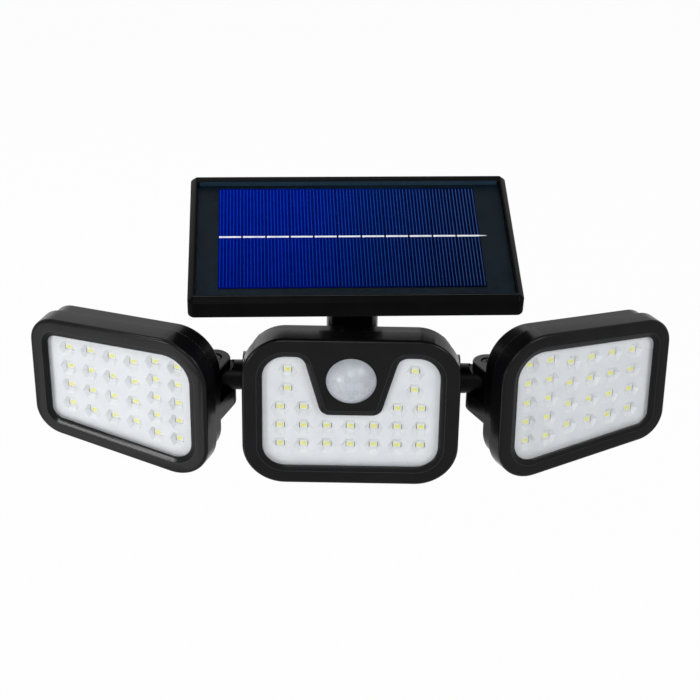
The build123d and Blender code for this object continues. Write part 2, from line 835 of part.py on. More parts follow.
# Wall plate and wall hinge, in the frame of the whole part
def wall_plate():
    face = RectangleRounded(plate_width, plate_tall, plate_corner)
    body = slab(face, 0, -plate_thick)
    body = fillet(body.faces().sort_by(Axis.Y)[0].edges(), plate_edge)
    inner = knuckle_half + side_gap
    for low, high in ((inner, inner + ear_thick), (-inner - ear_thick, -inner)):
        body += rod_x(knuckle_radius, low, high, -knuckle_out, knuckle_height)
        body += block((low, high), (-knuckle_out, -plate_thick / 2),
                      (knuckle_height - knuckle_radius, knuckle_height + knuckle_radius))
    for x in (-wall_hole_x / 2, wall_hole_x / 2):
        for z in (-wall_hole_z / 2, wall_hole_z / 2):
            body -= rod_y(wall_hole, 0, -plate_thick, x, z)
    reach_x = inner + ear_thick
    return body - rod_x(wall_bolt + hole_ease, -reach_x, reach_x, -knuckle_out, knuckle_height)


def wall_hinge_bolt():
    seat = knuckle_half + side_gap + ear_thick
    length = 2 * seat + tilt_nut_height + bolt_tip
    one = facing_right * hex_bolt(wall_bolt, length, tilt_head, tilt_head_height)
    return Pos(seat, -knuckle_out, knuckle_height) * one


def wall_hinge_nut():
    seat = knuckle_half + side_gap + ear_thick
    one = facing_left * hex_nut(tilt_nut_width, tilt_nut_height, wall_bolt)
    return Pos(-seat, -knuckle_out, knuckle_height) * one


# Bracket arm between the rear box and the wall hinge, in the lamp's frame
def bracket_arm():
    eye_y = reach - knuckle_out
    eye_z = knuckle_height - arm_height
    middle = (flange_top + flange_foot) / 2
    face = Pos(0, middle) * RectangleRounded(flange_length, flange_top - flange_foot, flange_corner)
    back = box_back + flange_thick
    body = slab(face, back, box_back)
    web = make_hull((Pos(eye_y, eye_z) * Circle(knuckle_radius)).edges()
                    + Polyline((back, flange_top), (back, flange_foot)).edges())
    side = Plane(origin=(-knuckle_half, 0, 0), x_dir=(0, 1, 0), z_dir=(1, 0, 0))
    body += extrude(side * web, amount=2 * knuckle_half)
    body -= rod_x(wall_bolt + running, -knuckle_half, knuckle_half, eye_y, eye_z)
    for x, z in flange_spots():
        body -= rod_y(flange_screw + hole_ease, back, box_back, x, z)
    return body


def bracket_screws():
    length = flange_thick + flange_screw_bite - bolt_tip
    one = facing_back * screw(flange_screw, length, flange_screw_head, flange_screw_head_height)
    return Compound([Pos(x, box_back + flange_thick, z) * one for x, z in flange_spots()])


# Assembly
nodes = {
    "wall_plate": wall_plate(),
    "wall_hinge_bolt": wall_hinge_bolt(),
    "wall_hinge_nut": wall_hinge_nut(),
}

in_lamp = {
    "bracket_arm": bracket_arm(),
    "bracket_screws": bracket_screws(),
    "centre_housing": centre_housing(),
    "centre_bezel": centre_bezel(),
    "centre_gasket": gasket(*centre_outline()),
    "centre_lens": centre_lens(),
    "centre_reflector": centre_reflector(),
    "centre_led_board": centre_led_board(),
    "centre_leds": leds(centre_led_spots()),
    "centre_case_screws": case_screws(*centre_outline()),
    "pir_dome": pir_dome(),
    "pir_sensor": pir_sensor(),
    "control_board": control_board(),
    "control_board_screws": control_screws(),
    "mode_switch": mode_switch(),
    "mode_button": mode_button(),
    "battery_cell": battery_cell(),
    "battery_cradle": battery_cradle(),
}
nodes.update({name: lamp * piece for name, piece in in_lamp.items()})

neck = lamp * Pos(0, arm_setback, 0) * Rot(Z=panel_turn)
on_neck = {
    "neck_post": neck_post(),
    "neck_washer": neck_washer(),
    "neck_screw": neck_retaining_screw(),
}
nodes.update({name: neck * piece for name, piece in on_neck.items()})

panel = neck * Pos(0, 0, tilt_height) * Rot(X=panel_tilt)
on_panel = {
    "panel_tray": panel_tray(),
    "panel_backsheet": panel_backsheet(),
    "solar_cells": solar_cells(),
    "bus_ribbons": bus_ribbons(),
    "panel_glass": panel_glass(),
    "panel_bracket": panel_bracket(),
    "panel_bracket_screws": panel_bracket_screws(),
    "tilt_bolt": tilt_bolt_piece(),
    "tilt_nut": tilt_nut(),
}
nodes.update({name: panel * piece for name, piece in on_panel.items()})

on_arm = {
    "arm": arm(),
    "arm_washer": arm_washer(),
    "arm_screw": arm_retaining_screw(),
}
on_head = {
    "housing": side_housing(),
    "bezel": side_bezel(),
    "gasket": gasket(*side_outline()),
    "lens": side_lens(),
    "reflector": side_reflector(),
    "led_board": side_led_board(),
    "leds": leds(side_led_spots()),
    "case_screws": case_screws(*side_outline()),
    "pivot_screw": pivot_screw_piece(),
    "pivot_nut": pivot_nut(),
}
for side, sign, pitch, yaw in (("left", -1, left_pitch, left_yaw), ("right", 1, right_pitch, right_yaw)):
    crossing = lamp * Pos(sign * hinge_x, arm_setback, 0) * Rot(X=pitch)
    head = crossing * Rot(Z=sign * yaw) * Pos(sign * head_offset, -head_forward, -head_drop)
    for place, pieces in ((crossing, on_arm), (head, on_head)):
        for name, piece in pieces.items():
            handed = piece if sign > 0 else mirror(piece, about=Plane.YZ)
            nodes[side + "_" + name] = place * handed

for name, piece in nodes.items():
    export_step(piece, os.path.join("parts", name + ".step"))
print(len(nodes), "nodes written")
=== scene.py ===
import bpy
import bmesh
import json
import math
from mathutils import Euler, Matrix, Vector


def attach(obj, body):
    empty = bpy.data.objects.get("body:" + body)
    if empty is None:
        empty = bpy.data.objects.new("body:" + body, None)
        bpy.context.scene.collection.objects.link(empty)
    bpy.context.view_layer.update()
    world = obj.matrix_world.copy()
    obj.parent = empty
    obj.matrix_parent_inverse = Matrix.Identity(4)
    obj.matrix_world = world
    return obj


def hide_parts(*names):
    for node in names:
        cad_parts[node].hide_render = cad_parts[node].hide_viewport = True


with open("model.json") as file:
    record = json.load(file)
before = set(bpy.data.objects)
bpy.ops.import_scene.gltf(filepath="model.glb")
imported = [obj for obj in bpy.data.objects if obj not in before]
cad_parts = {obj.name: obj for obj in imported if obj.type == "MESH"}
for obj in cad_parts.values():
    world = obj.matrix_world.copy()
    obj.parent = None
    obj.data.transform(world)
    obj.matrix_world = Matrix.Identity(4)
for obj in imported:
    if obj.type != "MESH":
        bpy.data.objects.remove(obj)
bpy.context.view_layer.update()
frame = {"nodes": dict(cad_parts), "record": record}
nodes = frame["nodes"]
mm = 0.001
print("frame loaded:", len(nodes), "nodes")


# camera where the photographer stood: in front, looking down a little, tipped by under a degree
viewpoint = {"place": (-0.000785, -0.85917, 0.47407), "lookDown": 62.0, "tip": 0.96, "lens": 100.3, "sensor": 36}
bpy.ops.object.camera_add(location=viewpoint["place"])
camera = bpy.context.object
facing = Euler((math.radians(viewpoint["lookDown"]), 0, 0)).to_matrix()
camera.rotation_euler = (facing @ Matrix.Rotation(math.radians(viewpoint["tip"]), 3, "Z")).to_euler()
camera.data.lens = viewpoint["lens"]
camera.data.sensor_width = viewpoint["sensor"]
bpy.context.scene.camera = camera
bpy.context.scene.view_settings.view_transform = "Standard"
print("camera set")


# where the moving pieces stand, the same numbers as in the CAD
def turned(angle, axis):
    return Matrix.Rotation(math.radians(angle), 4, axis)


def shifted(x, y, z):
    return Matrix.Translation((x * mm, y * mm, z * mm))


stands = {"lamp": (0, -96, 38), "panelHinge": (0, -65, 89), "panelTurn": 3.1, "panelTilt": 14,
          "headHinge": (63.2, -65, 38), "headFromHinge": (32.6, -27.7, -0.5),
          "headTurns": {"left": (4.3, -23), "right": (-1.4, 27.5)}}


def headStand(side):
    outward = -1 if side == "left" else 1
    pitch, yaw = stands["headTurns"][side]
    hingeX, hingeY, hingeZ = stands["headHinge"]
    reachX, reachY, reachZ = stands["headFromHinge"]
    hinge = shifted(outward * hingeX, hingeY, hingeZ)
    return hinge @ turned(pitch, "X") @ turned(yaw, "Z") @ shifted(outward * reachX, reachY, reachZ)


lampPlace = shifted(*stands["lamp"])
panelPlace = shifted(*stands["panelHinge"]) @ turned(stands["panelTurn"], "Z") @ turned(stands["panelTilt"], "X")
headPlace = {side: headStand(side) for side in ("left", "right")}


# modelling helpers, each one a step done by hand
def pick(obj):
    bpy.ops.object.select_all(action="DESELECT")
    obj.select_set(True)
    bpy.context.view_layer.objects.active = obj


def cubeOf(name, size, place):
    bpy.ops.object.select_all(action="DESELECT")
    bpy.ops.mesh.primitive_cube_add(size=1)
    obj = bpy.context.object
    obj.name = name
    obj.data.name = name
    obj.scale = [v * mm for v in size]
    obj.location = [v * mm for v in place]
    bpy.ops.object.transform_apply(location=True, rotation=True, scale=True)
    return obj


def selectFaces(obj, wanted):
    bpy.ops.object.mode_set(mode="EDIT")
    bpy.ops.mesh.select_mode(type="FACE")
    bpy.ops.mesh.select_all(action="DESELECT")
    shape = bmesh.from_edit_mesh(obj.data)
    for face in shape.faces:
        face.select_set(wanted(face))
    bmesh.update_edit_mesh(obj.data)


def applied(obj, kind, **settings):
    pick(obj)
    step = obj.modifiers.new(kind.lower(), kind)
    for name, value in settings.items():
        setattr(step, name, value)
    bpy.ops.object.modifier_apply(modifier=step.name)


def rowOf(obj, count, step):
    applied(obj, "ARRAY", count=count, use_relative_offset=False, use_constant_offset=True,
            constant_offset_displace=[v * mm for v in step])


def placed(obj, place, body, slot, *stoodFor):
    obj.data.transform(place)
    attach(obj, body)
    if stoodFor:
        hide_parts(*stoodFor)


def joined(pieces, name):
    bpy.ops.object.select_all(action="DESELECT")
    for piece in pieces:
        piece.select_set(True)
    bpy.context.view_layer.objects.active = pieces[0]
    bpy.ops.object.join()
    pieces[0].name = name
    pieces[0].data.name = name
    return pieces[0]


# materials
def hexColour(text):
    values = [int(text[i:i + 2], 16) / 255 for i in (1, 3, 5)]
    return [v / 12.92 if v <= 0.04045 else ((v + 0.055) / 1.055) ** 2.4 for v in values] + [1.0]


def addNode(tree, kind, settings=None, inputs=None):
    node = tree.nodes.new(kind)
    for name, value in (settings or {}).items():
        setattr(node, name, value)
    for name, value in (inputs or {}).items():
        if isinstance(value, bpy.types.NodeSocket):
            tree.links.new(value, node.inputs[name])
        else:
            node.inputs[name].default_value = value
    return node


def blankMaterial(name, settings):
    material = bpy.data.materials.new(name)
    material.use_nodes = True
    tree = material.node_tree
    shader = tree.nodes["Principled BSDF"]
    for socket, value in settings.items():
        shader.inputs[socket].default_value = value
    place = addNode(tree, "ShaderNodeTexCoord").outputs["Object"]
    return material, tree, shader, place


def ramp(tree, factor, stops):
    node = addNode(tree, "ShaderNodeValToRGB", inputs={"Fac": factor})
    bar = node.color_ramp.elements
    while len(bar) < len(stops):
        bar.new(1.0)
    for element, (at, colour) in zip(bar, stops):
        element.position = at
        element.color = hexColour(colour)
    return node.outputs["Color"]


# a cloudy tone between two colours, and a finer grain in the gloss and the surface; sizes and depth in mm
grain = {"cloudDetail": 3, "cloudFrom": 0.3, "cloudTo": 0.7, "detail": 2, "from": 0.25, "to": 0.75, "strength": 0.3}


def noiseOf(tree, place, size, detail):
    inputs = {"Vector": place, "Scale": 1 / (size * mm), "Detail": detail}
    return addNode(tree, "ShaderNodeTexNoise", inputs=inputs).outputs["Fac"]


def grained(name, dark, light, rough, grainSize, cloudSize, depth, settings):
    material, tree, shader, place = blankMaterial(name, settings)
    cloud = noiseOf(tree, place, cloudSize, grain["cloudDetail"])
    tone = ramp(tree, cloud, [(grain["cloudFrom"], dark), (grain["cloudTo"], light)])
    tree.links.new(tone, shader.inputs["Base Color"])
    fine = noiseOf(tree, place, grainSize, grain["detail"])
    shine = addNode(tree, "ShaderNodeMapRange", inputs={
        "Value": fine, "From Min": grain["from"], "From Max": grain["to"], "To Min": rough[0], "To Max": rough[1]})
    tree.links.new(shine.outputs["Result"], shader.inputs["Roughness"])
    bump = addNode(tree, "ShaderNodeBump", inputs={
        "Height": fine, "Strength": grain["strength"], "Distance": depth * mm})
    tree.links.new(bump.outputs["Normal"], shader.inputs["Normal"])
    return material


# black ABS, moulded in a spark-eroded tool: satin, with a fine grain that breaks up the highlights
# the real grain is about 0.2 mm, drawn at 0.6 mm so that it shows
blackAbs = grained("blackAbsMoulded", "#0C0C0D", "#121214", (0.15, 0.22), 0.6, 14, 0.05,
                   {"IOR": 1.5, "Specular IOR Level": 0.12})
# the same plastic on the panel's tray, darker and with hardly any gloss: painted shade, a deeper black than the
# casing
shadedTrayAbs = grained("blackAbsTrayPaintedShade", "#060607", "#0A0A0B", (0.26, 0.36), 0.6, 14, 0.02,
                      {"IOR": 1.5, "Specular IOR Level": 0.02})
# the same plastic along its edges, greyer and glossier: a painted highlight along each rounded edge, so that they
# draw a thin line
edgeHighlightAbs = grained("blackAbsEdgeHighlightPainted", "#1A1B1C", "#28292A", (0.25, 0.35), 0.6, 6, 0.04,
                    {"IOR": 1.5, "Specular IOR Level": 0.35})
# the lip of the panel's tray, where it meets the cover: greyer still, a painted highlight along the front lip
lipHighlightAbs = grained("blackAbsLipHighlightPainted", "#333638", "#45484A", (0.2, 0.3), 0.6, 6, 0.03, {"IOR": 1.5})
# the rear rim's inner wall painted blue-black like the film: a painted reflection of the film, so that the film seems
# to run up to the rim
rimFilmReflection = grained("blueBlackFilmReflectionPainted", "#1F3241", "#253948", (0.35, 0.5), 1.0, 8, 0.02,
                     {"IOR": 1.5, "Specular IOR Level": 0.04})
# black nylon, moulded and slightly oily: darker and a little glossier than the casing
blackNylon = grained("blackNylonMoulded", "#060607", "#0A0A0B", (0.28, 0.38), 0.8, 9, 0.04,
                     {"IOR": 1.53, "Specular IOR Level": 0.06})
# silicone rubber, moulded: dull and dark
blackSilicone = grained("blackSiliconeMoulded", "#1B1B1C", "#262627", (0.7, 0.85), 0.7, 6, 0.04, {"IOR": 1.41})
# white ABS, moulded smooth: bright, with a faint soft mottle
whiteAbs = grained("whiteAbsMoulded", "#E2E4E7", "#EAECEE", (0.32, 0.42), 1.2, 7, 0.03,
                   {"IOR": 1.5, "Subsurface Weight": 0.4, "Subsurface Scale": 1.0 * mm,
                    "Subsurface Radius": (1.0, 1.0, 1.0)})
# solder mask over fibreglass: smooth lacquer with the weave just showing as a mottle
blackMask = grained("solderMaskBlack", "#0D0D0F", "#17181A", (0.3, 0.4), 0.9, 5, 0.03, {"IOR": 1.5})
greenMask = grained("solderMaskGreen", "#0E3D22", "#15502D", (0.3, 0.4), 0.9, 5, 0.03, {"IOR": 1.5})
# zinc-plated steel, rolled threads: pale grey metal, slightly cloudy
zincSteel = grained("zincPlatedSteel", "#9A9DA0", "#BDBFC1", (0.28, 0.42), 0.5, 3, 0.03, {"Metallic": 1.0})
# steel screw, nearly as dark as the plastic round it: painted shade, so that the screw reads as the dark hole it sits
# in
screwShadeSteel = grained("steelPaintedShade", "#141416", "#1E1E20", (0.4, 0.55), 0.5, 3, 0.03, {"Metallic": 0.6})
# nickel-plated steel can: warmer and shinier than the screws
nickelSteel = grained("nickelPlatedSteel", "#B5B0A6", "#CDC9C0", (0.18, 0.28), 0.5, 4, 0.02, {"Metallic": 1.0})
# PVC shrink sleeve on the battery cell: glossy and blue
blueSleeve = grained("blueShrinkSleeve", "#1C4F86", "#245D9A", (0.2, 0.3), 1.5, 12, 0.03, {"IOR": 1.53})
# polycarbonate cover, moulded clear: the white plate shows through it, with a faint gloss on top
clearCover = grained("clearPolycarbonateMoulded", "#F2F4F6", "#FBFCFD", (0.12, 0.18), 2.0, 15, 0.0,
                     {"IOR": 1.58})
# toughened cover over the cells: clear, flat and cool
panelCover = grained("clearLaminatePressed", "#16252E", "#1B2C36", (0.14, 0.2), 3.0, 25, 0.0,
                     {"IOR": 1.5, "Specular IOR Level": 0.0})
# a cover's inner faces would mirror the room, so only its outer faces keep their share of the look
for cover, share in ((clearCover, 0.1), (panelCover, 0.03)):
    tree = cover.node_tree
    inner = addNode(tree, "ShaderNodeNewGeometry").outputs["Backfacing"]
    outer = addNode(tree, "ShaderNodeMapRange", inputs={"Value": inner, "To Min": share, "To Max": 0.0})
    tree.links.new(outer.outputs["Result"], tree.nodes["Principled BSDF"].inputs["Alpha"])
# backsheet: blue-black film, smooth, with a slight cloud
backsheetFilm = grained("blueBlackFilm", "#0B151C", "#0F1C26", (0.35, 0.5), 1.0, 18, 0.0,
                        {"IOR": 1.5, "Specular IOR Level": 0.04})
# white heat-proof resin of the LED packages
ledResin = grained("whiteResinMoulded", "#EEF0F0", "#F8F9F8", (0.3, 0.4), 0.5, 2, 0.01, {"IOR": 1.5})
# silicone filled with phosphor: yellow-green, soft and slightly translucent
ledPhosphor = grained("yellowPhosphorSilicone", "#EEF066", "#FAF79C", (0.25, 0.35), 0.4, 1.2, 0.01, {"IOR": 1.41})
# tinned copper ribbon and solder: bright, slightly wavy metal
tinnedCopper = grained("tinnedCopperRibbon", "#D9DCE6", "#F2F3F8", (0.25, 0.4), 0.5, 2, 0.05, {"Metallic": 0.85})


# the cells are painted with light and shade: brighter to the left and towards the back, darker to the right and
# towards the front; their tone also changes at random from crystal to crystal
cellLightAndCrystals = {"left": -60, "right": 57, "front": -97, "back": -30, "frontShare": 0.72, "backShare": 1.1,
            "crystal": 5, "crystalDark": 0.9, "crystalPale": 1.12}


def siliconMaterial(name, stops, settings):
    material, tree, shader, place = blankMaterial(name, settings)
    axes = addNode(tree, "ShaderNodeSeparateXYZ", inputs={"Vector": place})
    along = addNode(tree, "ShaderNodeMapRange", inputs={
        "Value": axes.outputs["X"], "From Min": cellLightAndCrystals["left"] * mm, "From Max": cellLightAndCrystals["right"] * mm})
    blue = ramp(tree, along.outputs["Result"], stops)
    crystal = addNode(tree, "ShaderNodeTexVoronoi", inputs={"Vector": place, "Scale": 1 / (cellLightAndCrystals["crystal"] * mm)})
    pale = addNode(tree, "ShaderNodeMapRange", inputs={
        "Value": crystal.outputs["Distance"], "To Min": cellLightAndCrystals["crystalDark"], "To Max": cellLightAndCrystals["crystalPale"]})
    depth = addNode(tree, "ShaderNodeMapRange", inputs={
        "Value": axes.outputs["Y"], "From Min": cellLightAndCrystals["front"] * mm, "From Max": cellLightAndCrystals["back"] * mm,
        "To Min": cellLightAndCrystals["frontShare"], "To Max": cellLightAndCrystals["backShare"]})
    both = addNode(tree, "ShaderNodeMath", {"operation": "MULTIPLY"}, {
        0: pale.outputs["Result"], 1: depth.outputs["Result"]})
    shade = addNode(tree, "ShaderNodeVectorMath", {"operation": "SCALE"}, {0: blue, "Scale": both.outputs[0]})
    tree.links.new(shade.outputs["Vector"], shader.inputs["Base Color"])
    return material


# polycrystalline silicon under its blue coating, with painted light: deep blue to the left where the light falls,
# painted shade to navy on the right, with faint crystals about 5 mm across
blueSilicon = siliconMaterial("blueSiliconCoated", [
    (0.0, "#001383"), (0.3, "#01127B"), (0.6, "#01114F"), (0.85, "#020B34"), (1.0, "#030A29")],
    {"Roughness": 0.35, "IOR": 1.5, "Specular IOR Level": 0.0})
# silver paste printed on the cells: real fingers are 0.1 mm, drawn at 0.4 mm and tinted so that they show, with the
# same painted light and shade across the panel
silverPaste = siliconMaterial("silverPastePrinted", [
    (0.0, "#0A38C2"), (0.3, "#0C3AB5"), (0.6, "#174399"), (0.85, "#294B8C"), (1.0, "#36528A")],
    {"Roughness": 0.45, "IOR": 1.5, "Specular IOR Level": 0.0})


# milky polyethylene of the sensor dome: soft white with six-sided lens facets about 3.6 mm across,
# each with a random tone of painted light, between pale lines that are painted highlights and fade towards the top
facets = {"across": 3.6, "lineFrom": 0.42, "lineTo": 0.5, "fadeFrom": 50, "fadeTo": 62, "fadeShare": 0.25,
          "toneSpread": 0.45, "snap": 8, "bump": 0.3, "bumpStrength": 0.5}


def domeMaterial():
    material, tree, shader, place = blankMaterial("milkyPolyethyleneMoulded", {
        "Roughness": 0.3, "IOR": 1.5, "Subsurface Weight": 0.1, "Subsurface Scale": 1.0 * mm})

    def vector(operation, inputs, output=0):
        return addNode(tree, "ShaderNodeVectorMath", {"operation": operation}, inputs).outputs[output]

    def scalar(operation, first, second):
        return addNode(tree, "ShaderNodeMath", {"operation": operation}, {0: first, 1: second}).outputs[0]

    wide = facets["across"] * mm
    tall = wide * math.sqrt(3)
    flat = vector("MULTIPLY", {0: place, 1: (1, 0, 1)})
    # two grids of middles, half a step apart: the nearer one is the middle of the facet
    offsets = []
    for slide in ((0, 0, 0), (wide / 2, 0, tall / 2)):
        moved = vector("ADD", {0: flat, 1: slide})
        offsets.append(vector("WRAP", {0: moved, 1: (wide / 2, 1, tall / 2), 2: (-wide / 2, -1, -tall / 2)}))
    lengths = [vector("LENGTH", {0: offset}, "Value") for offset in offsets]
    nearer = scalar("LESS_THAN", lengths[0], lengths[1])
    inside = addNode(tree, "ShaderNodeMix", {"data_type": "VECTOR"}, {
        0: nearer, 4: offsets[1], 5: offsets[0]}).outputs[1]
    middle = vector("SUBTRACT", {0: flat, 1: inside})
    middle = vector("SNAP", {0: middle, 1: (wide / facets["snap"], 1, wide / facets["snap"])})
    chance = addNode(tree, "ShaderNodeTexWhiteNoise", inputs={"Vector": middle}).outputs["Value"]
    inside = vector("ABSOLUTE", {0: inside})
    slant = vector("DOT_PRODUCT", {0: inside, 1: (0.5, 0, math.sqrt(3) / 2)}, "Value")
    across = vector("DOT_PRODUCT", {0: inside, 1: (1, 0, 0)}, "Value")
    reach = scalar("MAXIMUM", slant, across)
    edge = addNode(tree, "ShaderNodeMapRange", inputs={
        "Value": reach, "From Min": wide * facets["lineFrom"], "From Max": wide * facets["lineTo"]}).outputs["Result"]
    height = addNode(tree, "ShaderNodeSeparateXYZ", inputs={"Vector": place}).outputs["Z"]
    lower = addNode(tree, "ShaderNodeMapRange", inputs={
        "Value": height, "From Min": facets["fadeFrom"] * mm, "From Max": facets["fadeTo"] * mm,
        "To Min": 1.0, "To Max": facets["fadeShare"]}).outputs["Result"]
    # pale lines between the facets: painted highlights, stronger low on the dome; the same lines also raise the facet
    # ridges
    line = scalar("MULTIPLY", edge, lower)
    facet = addNode(tree, "ShaderNodeMapRange", inputs={
        "Value": chance, "To Min": 0.0, "To Max": facets["toneSpread"]}).outputs["Result"]
    tone = ramp(tree, scalar("MAXIMUM", line, facet), [
        (0.0, "#B7BBC3"), (facets["toneSpread"], "#C5C9D0"), (1.0, "#E2E5EA")])
    tree.links.new(tone, shader.inputs["Base Color"])
    bump = addNode(tree, "ShaderNodeBump", {"invert": True}, {
        "Height": line, "Strength": facets["bumpStrength"], "Distance": facets["bump"] * mm})
    tree.links.new(bump.outputs["Normal"], shader.inputs["Normal"])
    return material


milkyDome = domeMaterial()

finishes = {
    "casing": blackAbs, "hinge_parts": blackNylon, "clear_cover": clearCover, "dome": milkyDome,
    "led_board": blackMask, "led": ledResin, "reflector": whiteAbs, "circuit_board": greenMask,
    "sensor_can": nickelSteel, "seal": blackSilicone, "fastener": zincSteel, "battery_sleeve": blueSleeve,
    "panel_cover": panelCover, "backsheet": backsheetFilm, "silicon": blueSilicon, "ribbon": tinnedCopper,
}
for piece in frame["record"]["subparts"]:
    mesh = nodes[piece["node"]].data
    mesh.materials.clear()
    mesh.materials.append(finishes[piece["material_slot"]])
# the panel's tray takes the darker copy of the plastic: painted shade
nodes["panel_tray"].data.materials[0] = shadedTrayAbs
# the pivot screws in their holes take the dark steel: painted shade
for side in ("left", "right"):
    nodes[side + "_pivot_screw"].data.materials[0] = screwShadeSteel
print("materials on all CAD nodes")


# a CAD node's mesh as a piece of its own, in the frame of what carries it, with its loose triangles merged
merging = {"within": 0.002, "flatAngle": 0.4}


def mergedCopy(node, place, flatten):
    piece = bpy.data.objects.new(node + "Soft", nodes[node].data.copy())
    bpy.context.scene.collection.objects.link(piece)
    piece.data.transform(place.inverted())
    pick(piece)
    bpy.ops.object.mode_set(mode="EDIT")
    bpy.ops.mesh.select_all(action="SELECT")
    bpy.ops.mesh.remove_doubles(threshold=merging["within"] * mm)
    if flatten:
        bpy.ops.mesh.dissolve_limited(angle_limit=math.radians(merging["flatAngle"]))
    bpy.ops.object.mode_set(mode="OBJECT")
    return piece


# moulded edges: the casings' sharp edges get the small rounding that a tool leaves, which catches the light
softEdges = {"width": 0.3, "segments": 2, "angle": 20, "of": {
    "centre_bezel": "lamp", "left_bezel": "left_head", "right_bezel": "right_head", "panel_tray": "panel"}}
# on the panel's tray: a painted highlight on the lip along the front, and a painted reflection of the film on the
# inner wall along the rear
trayRim = {"facing": 0.95, "beyond": 35, "lipDeep": 0.1, "wallDeep": 3}


def paintTrayRim(tray):
    tray.materials[1] = shadedTrayAbs
    tray.materials.append(lipHighlightAbs)
    tray.materials.append(rimFilmReflection)
    upright = panelPlace.inverted()
    top = max((upright @ vert.co).z for vert in tray.vertices)
    for face in tray.polygons:
        middle = upright @ face.center
        normal = upright.to_3x3() @ face.normal
        below = (top - middle.z) / mm
        along = middle.y / mm
        # front lip faces: painted highlight
        if normal.z > trayRim["facing"] and below < trayRim["lipDeep"] and along < -trayRim["beyond"]:
            face.material_index = 2
        # rear inner wall faces: painted reflection of the film
        if normal.y < -trayRim["facing"] and below < trayRim["wallDeep"] and along > trayRim["beyond"]:
            face.material_index = 3


for node, body in softEdges["of"].items():
    casing = mergedCopy(node, Matrix(), True)
    # the rounded edge faces take the greyer edge material: a painted highlight along each edge
    casing.data.materials.append(edgeHighlightAbs)
    applied(casing, "BEVEL", width=softEdges["width"] * mm, segments=softEdges["segments"],
            limit_method="ANGLE", angle_limit=math.radians(softEdges["angle"]), material=1)
    if body == "panel":
        paintTrayRim(casing.data)
    bpy.ops.object.shade_smooth_by_angle(angle=math.radians(softEdges["angle"]))
    placed(casing, Matrix(), body, "casing", node)
print("casing edges softened")


# solar cells: eleven strips with seven printed fingers each, under the cover
cells = {"count": 11, "length": 116.7, "width": 70.1, "gap": 0.16, "middle": (-2.0, 2.2), "foot": 21.65, "thick": 0.3,
         "edge": 0.06, "fingers": 7, "fingerStep": 1.5, "fingerWidth": 0.42, "fingerThick": 0.04, "fingerShort": 1.2}
squarely = 0.9  # how much of a face's normal has to point the wanted way
cellStep = cells["length"] / cells["count"]
firstCell = cells["middle"][0] - cellStep * (cells["count"] - 1) / 2
strips = cubeOf("cellStrips", (cellStep - cells["gap"], cells["width"], cells["thick"]),
                (firstCell, cells["middle"][1], cells["foot"] + cells["thick"] / 2))
selectFaces(strips, lambda face: face.normal.z > squarely)
bpy.ops.mesh.bevel(offset=cells["edge"] * mm, segments=2)
bpy.ops.object.mode_set(mode="OBJECT")
rowOf(strips, cells["count"], (cellStep, 0, 0))
strips.data.materials.append(blueSilicon)
placed(strips, panelPlace, "panel", "silicon", "solar_cells")

fingers = cubeOf("cellFingers", (cells["fingerWidth"], cells["width"] - cells["fingerShort"], cells["fingerThick"]),
                 (firstCell - cells["fingerStep"] * (cells["fingers"] - 1) / 2, cells["middle"][1],
                  cells["foot"] + cells["thick"] + cells["fingerThick"] / 2))
rowOf(fingers, cells["fingers"], (cells["fingerStep"], 0, 0))
rowOf(fingers, cells["count"], (cellStep, 0, 0))
fingers.data.materials.append(silverPaste)
placed(fingers, panelPlace, "panel", "silicon")
print("solar cells made")


# bus ribbon: one length on each cell, with a flattened drop of solder at its left end and a tapered tail at the right
ribbon = {"wide": 1.1, "thick": 0.1, "gap": 0.9, "edge": 0.05, "tail": 2.5, "tailShare": 0.7, "tailTip": 0.3,
          "dropFrom": 0.9, "dropLong": 1.4, "dropWide": 1.5, "dropTall": 0.12}
ribbonFoot = cells["foot"] + cells["thick"]
strap = cubeOf("busRibbon", (cellStep - ribbon["gap"], ribbon["wide"], ribbon["thick"]),
               (firstCell, cells["middle"][1], ribbonFoot + ribbon["thick"] / 2))
selectFaces(strap, lambda face: face.normal.z > squarely)
bpy.ops.mesh.bevel(offset=ribbon["edge"] * mm, segments=2)
bpy.ops.object.mode_set(mode="OBJECT")
bpy.ops.object.select_all(action="DESELECT")
bpy.ops.mesh.primitive_uv_sphere_add(segments=12, ring_count=6, radius=0.5)
drop = bpy.context.object
drop.scale = (ribbon["dropLong"] * mm, ribbon["dropWide"] * mm, ribbon["dropTall"] * 2 * mm)
dropAt = firstCell - cellStep / 2 + ribbon["dropFrom"]
drop.location = (dropAt * mm, cells["middle"][1] * mm, ribbonFoot * mm)
bpy.ops.object.transform_apply(location=True, rotation=True, scale=True)
bpy.ops.object.mode_set(mode="EDIT")
bpy.ops.mesh.select_all(action="SELECT")
bpy.ops.mesh.bisect(plane_co=(0, 0, ribbonFoot * mm), plane_no=(0, 0, -1), clear_outer=True, use_fill=True)
bpy.ops.object.mode_set(mode="OBJECT")
bpy.ops.object.shade_smooth()
strap = joined([strap, drop], "busRibbon")
rowOf(strap, cells["count"], (cellStep, 0, 0))
tail = cubeOf("ribbonTail", (ribbon["tail"] + ribbon["gap"], ribbon["wide"] * ribbon["tailShare"], ribbon["thick"]),
              (cells["middle"][0] + (cells["length"] + ribbon["tail"]) / 2, cells["middle"][1],
               ribbonFoot + ribbon["thick"] / 2))
selectFaces(tail, lambda face: face.normal.x > squarely)
bpy.ops.transform.resize(value=(1, ribbon["tailTip"], 1))
bpy.ops.object.mode_set(mode="OBJECT")
strap = joined([strap, tail], "busRibbon")
strap.data.materials.append(tinnedCopper)
placed(strap, panelPlace, "panel", "ribbon", "bus_ribbons")
print("bus ribbon made")


# LED package: a white cup with the phosphor set into it
led = {"wide": 3.5, "tall": 2.8, "deep": 0.7, "corner": 0.25, "rim": 0.42, "sink": 0.05}


